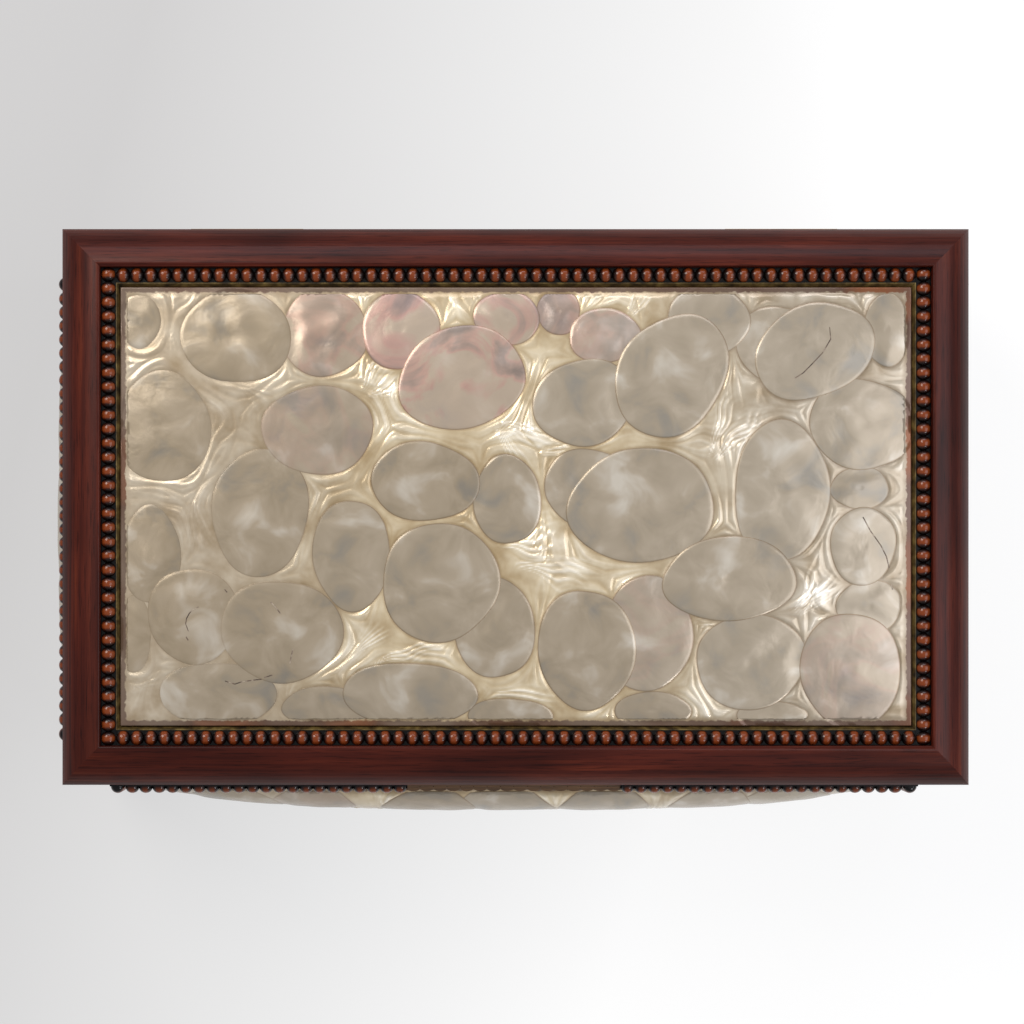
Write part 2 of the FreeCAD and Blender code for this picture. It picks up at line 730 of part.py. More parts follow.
# Lid: four mitred cushion rails with a seat for the beads and a groove for the ground board
def build_rail(side, length, turn, x, y, tools):
    body = doc.addObject("PartDesign::Body", f"lid_{side}_rail_blank")
    face = "sizes.rail_face"
    crest = "sizes.lid_height"
    seat = "(sizes.lid_height - sizes.seat_depth)"
    groove_low = "(sizes.tongue_height - sizes.joint_clearance)"
    groove_high = "(sizes.tongue_height + sizes.tongue_thickness + sizes.joint_clearance)"
    groove_end = f"({RAIL_WIDTH} - sizes.tongue_length - sizes.tongue_end_gap)"
    shoulder = f"({crest} - sizes.cushion_radius + sqrt(sizes.cushion_radius ^ 2 - {face} ^ 2))"
    section = [("0", "0"), (RAIL_WIDTH, "0"), (RAIL_WIDTH, groove_low), (groove_end, groove_low),
               (groove_end, groove_high), (RAIL_WIDTH, groove_high), (RAIL_WIDTH, seat), (face, seat),
               (face, crest), ("0", shoulder)]
    cushion = section.index((face, crest))
    sketch = outline(body, f"lid_{side}_rail_section", "YZ_Plane", [section],
                     {cushion: "sizes.cushion_radius"})
    pad(body, f"lid_{side}_rail_pad", sketch, length, both_ways=True)
    doc.recompute()
    before = body.Shape.Volume
    half = f"{length} / 2"
    ends = [[(f"{half} - {RAIL_WIDTH}", RAIL_WIDTH), (half, "0"), (half, RAIL_WIDTH)],
            [(f"{RAIL_WIDTH} - {half}", RAIL_WIDTH), (f"-{half}", RAIL_WIDTH), (f"-{half}", "0")]]
    mitre = body.newObject("PartDesign::Pocket", f"lid_{side}_rail_mitre")
    mitre.Profile = outline(body, f"lid_{side}_rail_mitres", "XY_Plane", ends)
    mitre.Type = "ThroughAll"
    mitre.Reversed = True
    body.Tip = mitre
    body.Placement = Placement(Vector(), Rotation(Z_AXIS, turn))
    bind(body, {"Placement.Base.x": x, "Placement.Base.y": y, "Placement.Base.z": LID_BASE})
    doc.recompute()
    if body.Shape.Volume >= before:
        raise RuntimeError(f"lid_{side}_rail: the mitres cut nothing")
    node(cut(f"lid_{side}_rail", body, tools), f"lid_rail_{side}")


def build_lid():
    half_l = "sizes.lid_length / 2"
    half_w = "sizes.lid_width / 2"
    reach_x = f"({half_l} - sizes.key_inset)"
    reach_y = f"({half_w} - sizes.key_inset)"
    key_z = f"({LID_BASE} + sizes.key_height)"
    slots = corner_plates("key_slot", reach_x, reach_y, grown("sizes.key_across"), grown("sizes.key_along"),
                          grown("sizes.key_thickness"), f"({key_z} - sizes.joint_clearance)")
    keys = corner_plates("key", reach_x, reach_y, "sizes.key_across", "sizes.key_along",
                         "sizes.key_thickness", key_z)
    node(group("keys", keys), "lid_corner_keys")
    housing = hinge_housing("lid", LID_BASE, LID_BASE)
    build_rail("front", "sizes.lid_length", 0, "0", f"-{half_w}", slots)
    build_rail("right", "sizes.lid_width", 90, half_l, "0", slots)
    build_rail("back", "sizes.lid_length", 180, "0", half_w, slots + housing)
    build_rail("left", "sizes.lid_width", 270, f"-{half_l}", "0", slots)
    clear = "2 * sizes.joint_clearance"
    node(block("lid_lining", f"(sizes.lid_length - 2 * {RAIL_WIDTH} - {clear})",
               f"(sizes.lid_width - 2 * {RAIL_WIDTH} - {clear})", "sizes.lid_lining_thickness",
               "0", "0", LID_BASE), "lid_lining")


# Hinge leaves with their knuckles, the pins and the screws
def build_leaf(side, owner, numbers, plate_z, head_z, head_up):
    middle = hinge_places[side]
    name = f"hinge_{side}_{owner}"
    section = "(sizes.hinge_length / %d)" % KNUCKLES
    pieces = [block(f"{name}_plate", "sizes.hinge_length", LEAF_WIDTH, "sizes.leaf_thickness",
                    middle, LEAF_MIDDLE_Y, plate_z)]
    for number in numbers:
        length = f"({section} - sizes.knuckle_gap)"
        centre = f"({middle} + {number - (KNUCKLES - 1) / 2} * {section})"
        pieces.append(rod(f"{name}_knuckle_{number}", "sizes.knuckle_radius", length,
                          f"({centre} - {length} / 2)", HINGE_Y, HINGE_Z, across=True))
        pieces.append(block(f"{name}_tab_{number}", length, HINGE_RECESS, "sizes.leaf_thickness", centre,
                            f"({HINGE_Y} - {HINGE_RECESS} / 2)", plate_z))
    tools = [rod(f"{name}_bore", "(sizes.pin_radius + sizes.pin_clearance)", grown("sizes.hinge_length"),
                 f"({middle} - {grown('sizes.hinge_length')} / 2)", HINGE_Y, HINGE_Z, across=True)]
    for number in range(SCREWS_PER_LEAF):
        x = f"({middle} + {number - (SCREWS_PER_LEAF - 1) / 2} * sizes.screw_pitch)"
        tools.append(rod(f"{name}_hole_{number}", "(sizes.screw_radius + sizes.screw_clearance)",
                         grown("sizes.leaf_thickness"), x, LEAF_MIDDLE_Y,
                         f"({plate_z} - sizes.joint_clearance)"))
        tools.append(countersink(f"{name}_sink_{number}", x, head_z, head_up))
    node(cut(name, joined(f"{name}_blank", pieces), tools), f"{name}_leaf")


def countersink(name, x, head_z, head_up):
    """Cone in a leaf that takes a screw's head."""
    wide = "(sizes.screw_head_radius + sizes.screw_clearance)"
    narrow = "(sizes.screw_radius + sizes.screw_clearance)"
    thing = doc.addObject("Part::Cone", name)
    bind(thing, {
        "Radius1": narrow if head_up else wide,
        "Radius2": wide if head_up else narrow,
        "Height": "sizes.screw_head_height",
        "Placement.Base.x": x,
        "Placement.Base.y": LEAF_MIDDLE_Y,
        "Placement.Base.z": f"({head_z} - sizes.screw_head_height)" if head_up else head_z,
    })
    return thing


def screw_shape():
    """Slotted countersunk screw, head at the origin and point down."""
    head = value("sizes.screw_head_radius")
    shank = value("sizes.screw_radius")
    deep = value("sizes.screw_head_height")
    length = value("sizes.screw_length")
    point = value("sizes.screw_point")
    corners = [Vector(0, 0, 0), Vector(head, 0, 0), Vector(shank, 0, -deep),
               Vector(shank, 0, point - length), Vector(0, 0, -length)]
    profile = Part.Face(Part.makePolygon(corners + corners[:1]))
    turned = profile.revolve(Vector(), Z_AXIS, 360)
    width = value("sizes.screw_slot_width")
    slot = Part.makeBox(4 * head, width, deep, Vector(-2 * head, -width / 2, -value("sizes.screw_slot_depth")))
    return turned.cut(slot)


def screw_set(name, head_z, upside_down):
    """All the screws of one set of leaves, as separate solids."""
    shape = screw_shape()
    turn = Rotation(X_AXIS, 180 if upside_down else 0)
    screws = []
    for x in screw_places():
        screw = shape.copy()
        screw.Placement = Placement(Vector(value(x), value(LEAF_MIDDLE_Y), value(head_z)), turn)
        screws.append(screw)
    return node(solid(name, Part.makeCompound(screws)), name)


def build_hinges():
    body_numbers = range(0, KNUCKLES, 2)
    lid_numbers = range(1, KNUCKLES, 2)
    for side, middle in hinge_places.items():
        build_leaf(side, "body", body_numbers, f"({RIM} - sizes.leaf_thickness)", RIM, True)
        build_leaf(side, "lid", lid_numbers, LID_BASE, LID_BASE, False)
        node(rod(f"hinge_{side}_pin", "sizes.pin_radius", "sizes.hinge_length",
                 f"({middle} - sizes.hinge_length / 2)", HINGE_Y, HINGE_Z, across=True), f"hinge_{side}_pin")
    screw_set("hinge_body_screws", RIM, False)
    screw_set("hinge_lid_screws", LID_BASE, True)


def check_and_write():
    """Stop on any failed object or shape, then write one file for each piece."""
    doc.recompute()
    for thing in doc.Objects:
        if "Invalid" in thing.State or "Error" in thing.State:
            raise RuntimeError(f"{thing.Label} failed: {thing.State}")
    for thing in nodes:
        if thing.Shape.isNull() or not thing.Shape.isValid() or not thing.Shape.Solids:
            raise RuntimeError(f"{thing.Label} has no valid solid")
    os.makedirs("parts", exist_ok=True)
    for thing in nodes:
        thing.Shape.exportStep(os.path.join("parts", f"{thing.Label}.step"))
        print(f"{thing.Label}: {len(thing.Shape.Solids)} solids, {thing.Shape.Volume:.1f} mm3")


build_body()
build_lining()
build_panels()
build_lid()
build_hinges()
check_and_write()
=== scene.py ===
import math
import random

import bmesh
import bpy
import numpy as np
from mathutils import Matrix, Vector


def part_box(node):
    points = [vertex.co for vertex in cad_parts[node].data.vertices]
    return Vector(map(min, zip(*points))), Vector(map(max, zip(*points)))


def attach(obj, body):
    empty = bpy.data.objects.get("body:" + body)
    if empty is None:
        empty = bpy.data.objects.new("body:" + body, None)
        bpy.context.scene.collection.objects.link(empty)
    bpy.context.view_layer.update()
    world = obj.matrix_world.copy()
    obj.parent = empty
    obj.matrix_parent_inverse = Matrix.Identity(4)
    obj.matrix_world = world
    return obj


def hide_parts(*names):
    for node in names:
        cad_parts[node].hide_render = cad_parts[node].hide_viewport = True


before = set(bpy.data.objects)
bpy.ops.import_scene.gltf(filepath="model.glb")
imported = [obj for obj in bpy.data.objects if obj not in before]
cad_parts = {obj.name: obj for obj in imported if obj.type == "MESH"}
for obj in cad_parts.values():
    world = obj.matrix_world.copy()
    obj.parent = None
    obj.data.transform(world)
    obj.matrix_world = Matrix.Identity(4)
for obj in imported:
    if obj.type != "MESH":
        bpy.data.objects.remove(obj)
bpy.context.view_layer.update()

scene = bpy.context.scene
MM = 0.001

# Camera: straight above the lid, a little left of and in front of its middle
LENS_MM = 91.4
CAMERA_PLACE = (-0.0250, -0.0320, 0.966)
CAMERA_SHIFT = (0.0703, 0.0895)

# Studio, in metres: half the paper floor's side, the share of its own glow, and where the lamps are aimed
FLOOR_HALF = 3.0
PAPER_GLOW = 0.85
LAMP_AIM = (0, 0, 0.1)

# Shell panels, in millimetres
SHELL_THICKNESS = 1.0
DOME_POWER = 8
BORDER = 2.3
SIDE_OVAL_PITCH = 34.0
SIDE_FAN_PITCH = 16.0
SIDE_FAN_HALF = 26

# Pleated sheet, in millimetres; QUIET is where its relief dies down towards the left of a panel
SHEET_DROP = 0.5
SHEET_CELL = 1.8
SHEET_CUTS = 3
SHEET_BASE = 0.05
SKIRT_SLOPE = 0.2
OPEN_MARGIN = 1.2
UNDER_DROP = 0.3
GAP_LEVEL = 0.12
GAP_TONE = 0.12
GAP_SHOULDER = 0.9
FOLDS = 3.4
FOLD_HEIGHT = 0.42
FINE_FOLD_HEIGHT = 0.26
FOLD_WANDER = 0.75
STRAND_HEIGHT = 0.45
STRAND_WANDER = 0.07
STRAND_SHARPNESS = 1.3
QUIET = (-95, -45)
QUIET_SHARE = 0.4

# Ovals, in millimetres; each turn of the unevenness is so many waves round the outline and their size
OVAL_WALL = 0.19
OVAL_RIM = 0.8
OVAL_CROWN = 0.35
OVAL_LUMPS = 0.10
OVAL_LIFT = 0.04
OVAL_UNDERSIDE = -0.45
TUCK_REACH = 5.0
TUCK_LEVEL = 0.03
UNEVEN_TURNS = [(2, 0.022), (3, 0.024), (5, 0.012)]
OVAL_SEGMENTS = 64
OVAL_RINGS = 32
CRACK_CUTS = 5
CRACK_WIDTH = 0.35
CRACK_LIFT = 0.02
CRACK_THICKNESS = 0.04

# Bead rows, in millimetres, and the slope of the finger scoop planed into one of them
BEAD_PITCH = 4.57
BEAD_HEIGHT = 2.4
BEAD_ROUGHNESS = 0.25
BEAD_COAT = 0.3
SCOOP_HALF = 40.0
SCOOP_NORMAL = (0.0, -math.sin(math.radians(55)), math.cos(math.radians(55)))

# Arrises rubbed round, in millimetres and degrees, where each face beside is FACE_SHARE of the easing wide
RAIL_EASING = 0.6
BOARD_EASING = 0.5
SHORTEST_ARRIS = 20.0
ARRIS_ANGLE = 35
FACE_SHARE = 0.7
EASING_STEPS = 3
WELD = 0.001
FLAT_ANGLE = 0.5
CREASE_ANGLE = 28

# Ovals on the lid: centre, half axes and tilt in millimetres and degrees from the lid's middle.
# An oval earlier in the list lies over a later one that it meets.
LID_OVALS = [
    # Right half
    (70, -24, 22, 14, 0),
    (87, 5, 16, 23, 0),
    (98, 51, 21, 15, 25),
    (51, 43, 22, 17, 60),
    (41, 0, 24, 19, 0),
    (114, 27, 18, 15, 0),
    (114, -13, 11, 13, 0),
    (110, -54, 17, 19, 0),
    (77, -51, 18, 16, 0),
    (22, 34, 17, 14, 20),
    # Middle
    (-18, 42, 21, 17, 10),
    (-38, 58, 13, 13, 0),
    (29, 56, 12, 9, 0),
    (-30, 8, 18, 13, 0),
    (-3, 2, 11, 15, 0),
    (-25, -25, 19, 20, 0),
    (23, -47, 16, 20, 0),
    (-7, -40, 13, 17, 0),
    # Left half
    (-54, -16, 13, 18, 0),
    (-65, 25, 18, 15, 0),
    (-84, -2, 16, 21, 0),
    (-77, -41, 20, 17, 0),
    (-116, 26, 16, 18, 0),
    (-92, 56, 18, 16, 0),
    (-63, 57, 14, 15, 0),
    (-106, -36, 15, 16, 0),
    (-120, -16, 10, 16, 0),
    (-98, -62, 19, 11, 0),
    (-35, -62, 22, 11, 0),
    # Half hidden under their neighbours
    (24, 6, 15, 13, 0),
    (43, -42, 15, 19, 0),
    (116, -33, 11, 9, 0),
    (63, 61, 14, 12, 0),
    (87, 53, 15, 13, 0),
    (-3, 62, 11, 9, 0),
    # Along the edges
    (-2, -69, 14, 6, 0),
    (45, -67, 13, 6, 0),
    (84, -69, 12, 5, 0),
    (-124, 61, 7, 9, 0),
    (122, 58, 8, 12, 0),
    (113, 6, 10, 7, 0),
    (14, 64, 7, 8, 0),
    (-62, -66, 15, 7, 0),
    (-126, -42, 6, 13, 0),
]
# Ovals of the lid with a rosy cloud in the shell, by their place in the list, and how strong it is
ROSY_OVALS = {24: 0.35, 11: 0.65, 10: 0.55, 34: 0.5, 41: 0.45, 12: 0.35, 30: 0.15, 7: 0.2, 19: 0.15}
# Fans of strands in the lid's gaps: apex, first and last heading, nearest and farthest reach, strands
LID_FANS = [
    (-52, 35, 8, 78, 4, 18, 8),
    (-26, 83, -72, -42, 10, 25, 5),
    (-8, 28, -72, -4, 3, 25, 9),
    (1, 15, 4, 26, 8, 42, 4),
    (36, 60, 42, 78, 3, 14, 5),
    (61, 12, 34, 76, 6, 29, 8),
    (-106, 4, -122, -58, 3, 24, 6),
    (-54, -49, 18, 72, 3, 16, 6),
    (-76, -66, 28, 82, 2, 10, 4),
    (-129, -61, 4, 52, 2, 16, 6),
    (-9, -13, -12, 42, 4, 26, 7),
    (-5, -18, -26, 4, 6, 32, 5),
    (-50, -53, 0, 26, 4, 32, 5),
    (-12, -61, -36, 10, 6, 27, 6),
    (55, -38, -18, 18, 2, 15, 4),
    (88, -39, 28, 62, 6, 25, 7),
    (80, -67, 14, 52, 3, 15, 4),
    (-114, 60, -112, -68, 3, 10, 4),
    (-93, 42, -58, -18, 5, 17, 4),
]
# Hairline cracks in the lid's ovals, as points from the lid's middle
LID_CRACKS = [
    [(102.9, 59.0), (103.2, 55.0), (100.4, 50.4), (96.4, 46.2), (94.0, 43.8), (91.2, 42.0)],
    [(113.8, -3.6), (116.4, -8.4), (119.8, -13.0), (121.6, -16.6), (123.2, -22.6)],
    [(123.4, -25.4), (123.6, -27.4)],
    [(-104.4, -33.0), (-106.0, -33.7), (-107.4, -35.0), (-108.4, -36.8), (-108.7, -38.6), (-107.8, -41.0)],
    [(-108.6, -43.0), (-107.8, -44.2)],
    [(-95.8, -27.4), (-95.0, -28.4)],
    [(-80.6, -31.6), (-78.8, -33.6), (-77.4, -35.4)],
    [(-73.4, -46.8), (-74.0, -49.4), (-74.4, -51.6)],
    [(-95.6, -57.6), (-92.4, -58.6), (-90.0, -57.8), (-85.6, -57.2), (-83.6, -57.0)],
    [(-82.6, -56.4), (-80.0, -55.6)],
]


def linear(code):
    """Linear colour of an sRGB hex value."""
    parts = [int(code[at:at + 2], 16) / 255 for at in (1, 3, 5)]
    return [part / 12.92 if part <= 0.04045 else ((part + 0.055) / 1.055) ** 2.4 for part in parts] + [1.0]


def wire(tree, node, inputs):
    """Give a node's inputs their values or links."""
    for name, given in inputs.items():
        if isinstance(given, bpy.types.NodeSocket):
            tree.links.new(given, node.inputs[name])
        else:
            node.inputs[name].default_value = given


def add(tree, kind, inputs=None, **settings):
    """One shader node with its settings, and its values or links."""
    made = tree.nodes.new("ShaderNode" + kind)
    for name, setting in settings.items():
        setattr(made, name, setting)
    wire(tree, made, inputs or {})
    return made


def ramp(tree, amount, stops):
    """Colour that a ramp of hex colours gives to an amount."""
    made = add(tree, "ValToRGB", {"Fac": amount})
    elements = made.color_ramp.elements
    while len(elements) < len(stops):
        elements.new(1.0)
    for element, (place, code) in zip(elements, stops):
        element.position = place
        element.color = linear(code)
    return made.outputs["Color"]


def mix(tree, share, first, second, blend="MIX"):
    """The first colour with a share of the second."""
    inputs = {"Fac": share, "Color1": first, "Color2": second}
    return add(tree, "MixRGB", inputs, blend_type=blend).outputs["Color"]


def product(tree, first, second, share=1.0):
    """The first colour darkened by the second."""
    return mix(tree, share, first, second, blend="MULTIPLY")


def maths(tree, operation, *numbers):
    """Result of one step of arithmetic."""
    return add(tree, "Math", dict(enumerate(numbers)), operation=operation).outputs[0]


def remap(tree, amount, start, end, low=0.0, high=1.0):
    """Amount carried from one range over to another and held at its ends."""
    inputs = {"Value": amount, "From Min": start, "From Max": end, "To Min": low, "To Max": high}
    return add(tree, "MapRange", inputs).outputs["Result"]


def axes(tree, place):
    """The three coordinates of a place."""
    return add(tree, "SeparateXYZ", {"Vector": place}).outputs


def attribute(tree, name):
    """Number kept on the vertices under a name."""
    return add(tree, "Attribute", attribute_name=name).outputs["Fac"]


def per_mm(size):
    """Pattern scale for a feature of this size in millimetres."""
    return 1.0 / (size * MM)


def noise(tree, place, size, detail, distortion=0.0):
    """Noise with features of this size in millimetres."""
    inputs = {"Vector": place, "Scale": per_mm(size), "Detail": detail, "Distortion": distortion}
    return add(tree, "TexNoise", inputs).outputs["Fac"]


def grain_noise(tree, place, grain, across, along, detail, distortion=0.0):
    """Noise drawn out along the grain, from the two sizes of its features in millimetres."""
    scale = [per_mm(across)] * 3
    scale["xyz".index(grain)] = per_mm(along)
    drawn_out = add(tree, "Mapping", {"Vector": place, "Scale": scale}).outputs[0]
    inputs = {"Vector": drawn_out, "Scale": 1.0, "Detail": detail, "Distortion": distortion}
    return add(tree, "TexNoise", inputs).outputs["Fac"]


def relief(tree, height, strength, depth):
    """Normal of a surface with fine relief, its depth in millimetres."""
    inputs = {"Height": height, "Strength": strength, "Distance": depth * MM}
    return add(tree, "Bump", inputs).outputs["Normal"]


def new_finish(name):
    """Material with its node tree, principled shader and object coordinates."""
    material = bpy.data.materials.new(name)
    material.use_nodes = True
    tree = material.node_tree
    tree.nodes.clear()
    shader = add(tree, "BsdfPrincipled")
    add(tree, "OutputMaterial", {"Surface": shader.outputs["BSDF"]})
    place = add(tree, "TexCoord").outputs["Object"]
    return material, tree, shader, place


# French-polished mahogany: dark red-brown, streaked and pored along the grain, under a soft glossy film
def polished_mahogany(grain):
    material, tree, shader, place = new_finish(f"polished_mahogany_{grain}")
    bands = grain_noise(tree, place, grain, 1.6, 70, detail=4.0, distortion=0.4)
    pores = grain_noise(tree, place, grain, 0.45, 9, detail=2.0)
    shade = grain_noise(tree, place, grain, 18, 60, detail=2.0)
    wood = ramp(tree, bands, [(0.30, "#3A130D"), (0.48, "#48190F"), (0.62, "#542013"), (0.78, "#622916")])
    dark = ramp(tree, pores, [(0.32, "#C0B5B0"), (0.45, "#FFFFFF")])
    deep = ramp(tree, shade, [(0.3, "#A89894"), (0.65, "#FFFFFF")])
    wire(tree, shader, {
        "Base Color": product(tree, product(tree, wood, dark), deep),
        "Normal": relief(tree, pores, 0.08, 0.1),
        "Roughness": 0.4,
        "Specular IOR Level": 0.1,
        "Coat Weight": 0.16,
        "Coat Roughness": 0.26,
    })
    return material


# Stained and polished beads: rubbed to orange brown across the middle; painted shade turns them black in the
# necks and towards the strip below
def turned_beads(node, axis, sign):
    material, tree, shader, place = new_finish(f"stained_{node}")
    low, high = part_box(node)
    run = max(range(3), key=lambda at: high[at] - low[at])
    length = high[run] - low[run]
    pitch = length / round(length / (BEAD_PITCH * MM))
    top = high[axis] if sign > 0 else low[axis]
    deck = top - sign * BEAD_HEIGHT * MM
    spot = axes(tree, place)
    row = {"Value": spot[run], "From Min": low[run], "From Max": low[run] + pitch}
    step = add(tree, "MapRange", row, clamp=False).outputs["Result"]
    share = maths(tree, "FRACT", step)
    away = maths(tree, "ABSOLUTE", maths(tree, "SUBTRACT", share, 0.5))
    blotch = noise(tree, place, 4, detail=3.0)
    # Darker towards each neck between beads: painted shade, varied by random wear
    wear_and_neck_shade = maths(tree, "MULTIPLY_ADD", blotch, -0.3, away)
    tone = ramp(tree, wear_and_neck_shade, [(0.0, "#733414"), (0.06, "#562510"), (0.14, "#2A110A"), (0.24, "#0E0706")])
    # Darker towards the strip under the beads, by height: painted shade
    rise = remap(tree, spot[axis], deck, (deck + top) / 2)
    depth = ramp(tree, rise, [(0.0, "#3A302C"), (1.0, "#FFFFFF")])
    wire(tree, shader, {
        "Base Color": product(tree, tone, depth),
        "Roughness": BEAD_ROUGHNESS,
        "Specular IOR Level": 0.2,
        "Coat Weight": BEAD_COAT,
        "Coat Roughness": 0.06,
    })
    return material


# Finger scoop in a row of beads: bare tan wood where the beads are planed away
def plane_scoop(material):
    tree = material.node_tree
    shader = tree.nodes["Principled BSDF"]
    stained = shader.inputs["Base Color"].links[0].from_socket
    place = add(tree, "TexCoord").outputs
    slope = add(tree, "VectorMath", {0: place["Normal"], 1: SCOOP_NORMAL}, operation="DOT_PRODUCT")
    planed = remap(tree, slope.outputs["Value"], 0.985, 0.995)
    across = maths(tree, "ABSOLUTE", axes(tree, place["Object"])["X"])
    within = maths(tree, "LESS_THAN", across, SCOOP_HALF * MM)
    bare = maths(tree, "MULTIPLY", planed, within)
    fibre = grain_noise(tree, place["Object"], "x", 0.5, 14, detail=3.0)
    wood = ramp(tree, fibre, [(0.3, "#3C2A1B"), (0.7, "#6A4C31")])
    wire(tree, shader, {
        "Base Color": mix(tree, bare, stained, wood),
        "Roughness": remap(tree, bare, 0.0, 1.0, BEAD_ROUGHNESS, 0.7),
        "Coat Weight": remap(tree, bare, 0.0, 1.0, BEAD_COAT, 0.0),
    })


# Aged gilt on a thin slip: dull olive gold, darkened where dirt lies
def aged_gilt():
    material, tree, shader, place = new_finish("aged_gilt")
    blotch = noise(tree, place, 3, detail=5.0)
    wire(tree, shader, {
        "Base Color": ramp(tree, blotch, [(0.3, "#20180B"), (0.5, "#51411F"), (0.75, "#83703F")]),
        "Roughness": remap(tree, blotch, 0.0, 1.0, 0.6, 0.35),
        "Metallic": 0.35,
    })
    return material


# Polished drawn brass: warm yellow, fine lines along the drawing, a little tarnish
def polished_brass():
    material, tree, shader, place = new_finish("polished_brass")
    drawn = grain_noise(tree, place, "x", 0.25, 12, detail=2.0)
    stain = noise(tree, place, 7, detail=4.0)
    wire(tree, shader, {
        "Base Color": ramp(tree, stain, [(0.3, "#8A6A34"), (0.7, "#C9A45C")]),
        "Roughness": remap(tree, drawn, 0.0, 1.0, 0.2, 0.42),
        "Metallic": 1.0,
    })
    return material


# Sanded cedar: warm pinkish brown with soft growth bands, left bare
def sanded_cedar(grain):
    material, tree, shader, place = new_finish(f"sanded_cedar_{grain}")
    bands = grain_noise(tree, place, grain, 3.2, 120, detail=3.0, distortion=0.6)
    hair = grain_noise(tree, place, grain, 0.4, 14, detail=2.0)
    tone = ramp(tree, bands, [(0.3, "#7C4A2C"), (0.5, "#A06A42"), (0.72, "#B98158")])
    lines = ramp(tree, hair, [(0.35, "#B8A79C"), (0.5, "#FFFFFF")])
    wire(tree, shader, {
        "Base Color": product(tree, tone, lines),
        "Normal": relief(tree, hair, 0.25, 0.1),
        "Roughness": 0.6,
    })
    return material


# Planed pine under the shell and in the bottom: pale straw with brown summer lines
def planed_pine():
    material, tree, shader, place = new_finish("planed_pine")
    bands = grain_noise(tree, place, "x", 4, 160, detail=3.0)
    wire(tree, shader, {
        "Base Color": ramp(tree, bands, [(0.35, "#A87C4C"), (0.6, "#D2AE7C")]),
        "Roughness": 0.6,
    })
    return material


# Felted wool baize: dark green, matt and fuzzy
def green_baize():
    material, tree, shader, place = new_finish("green_baize")
    fibre = noise(tree, place, 0.8, detail=4.0)
    wire(tree, shader, {
        "Base Color": ramp(tree, fibre, [(0.3, "#12301F"), (0.7, "#2C5A3C")]),
        "Normal": relief(tree, fibre, 0.6, 0.3),
        "Roughness": 0.95,
        "Sheen Weight": 0.3,
    })
    return material


# Polished mother-of-pearl ovals: cloudy warm grey with a satin lustre, rosy in places, a thin brown outline;
# painted shade makes them darker and warmer towards a panel's left, painted light lighter and cooler towards
# its right
def pearl_ovals():
    material, tree, shader, place = new_finish("pearl_ovals")
    warped = noise(tree, place, 13, detail=3.0, distortion=0.45)
    cloud = noise(tree, place, 22, detail=4.0, distortion=1.2)
    mottle = ramp(tree, warped, [(0.28, "#74736D"), (0.44, "#958872"), (0.58, "#A89B86"), (0.76, "#D2CCC0")])
    # Each oval's tone: random, plus painted shade on the left of a panel and painted light on its right
    painted_light_and_tone = ramp(tree, attribute(tree, "tone"), [(0.0, "#96856E"), (1.0, "#B6AC9D")])
    flush = ramp(tree, cloud, [(0.34, "#75666A"), (0.43, "#A08580"), (0.49, "#C0948B"), (0.56, "#BDAB99")])
    rosy = mix(tree, attribute(tree, "rose"), mix(tree, 0.6, painted_light_and_tone, mottle), flush)
    outline = ramp(tree, attribute(tree, "inset"), [(0.15, "#DED4C8"), (0.5, "#FFFFFF")])
    clear = remap(tree, axes(tree, place)["X"], QUIET[0] * MM, QUIET[1] * MM, low=0.3)
    wire(tree, shader, {
        "Base Color": product(tree, rosy, outline, clear),
        "Normal": relief(tree, warped, 0.4, 0.8),
        "Metallic": 0.3,
        "Roughness": 0.27,
    })
    return material


# Pleated shell sheet between the ovals: cream, with painted highlight turning the strands and fold crests
# near white, painted shade making it duller towards the left, brown glue along its ragged edge
def pearl_sheet():
    material, tree, shader, place = new_finish("pearl_sheet")
    strand = attribute(tree, "strand")
    across = axes(tree, place)["X"]
    outward = maths(tree, "ABSOLUTE", maths(tree, "ADD", across, 10 * MM))
    greyer = remap(tree, outward, 40 * MM, 95 * MM, high=0.95)
    # Lighter on the strands and fold crests: cream of the shell, turned near white there by painted highlight
    golden = ramp(tree, strand, [(0.0, "#B7A382"), (0.14, "#D0BF9F"), (0.45, "#E6DAC1"), (0.85, "#FFF8E8")])
    pale = ramp(tree, strand, [(0.0, "#A29583"), (0.16, "#BAAF9D"), (0.48, "#D6CDBE"), (0.85, "#FBF6EC")])
    # Painted shade: the sheet goes duller and darker towards the left of a panel
    painted_left_shade = remap(tree, across, -40 * MM, -90 * MM, high=0.75)
    sheet_tone_and_painted_light = mix(tree, painted_left_shade, mix(tree, greyer, golden, pale), linear("#B9AB95"))
    dull = ramp(tree, noise(tree, place, 9, detail=3.0), [(0.3, "#D2C8B8"), (0.65, "#FFFFFF")])
    glue = noise(tree, place, 34, detail=2.0)
    stain = ramp(tree, glue, [(0.42, "#6A584C"), (0.58, "#54392E"), (0.72, "#7E4522")])
    ragged = maths(tree, "SUBTRACT", noise(tree, place, 2.2, detail=4.0), 0.5)
    reach = maths(tree, "MULTIPLY_ADD", ragged, 2.2, attribute(tree, "edge"))
    glued = remap(tree, reach, 1.5, 1.9, 0.9, 0.0)
    wire(tree, shader, {
        "Base Color": mix(tree, glued, product(tree, sheet_tone_and_painted_light, dull), stain),
        "Metallic": 0.3,
        "Roughness": 0.24,
    })
    return material


# Dirt in the shell's cracks: dull umber, broken up along the crack
def crack_dirt():
    material, tree, shader, place = new_finish("crack_dirt")
    broken = noise(tree, place, 2.5, detail=3.0)
    wire(tree, shader, {
        "Base Color": ramp(tree, broken, [(0.35, "#33261E"), (0.5, "#5F4E42"), (0.62, "#9A8D7C")]),
        "Roughness": 0.6,
    })
    return material


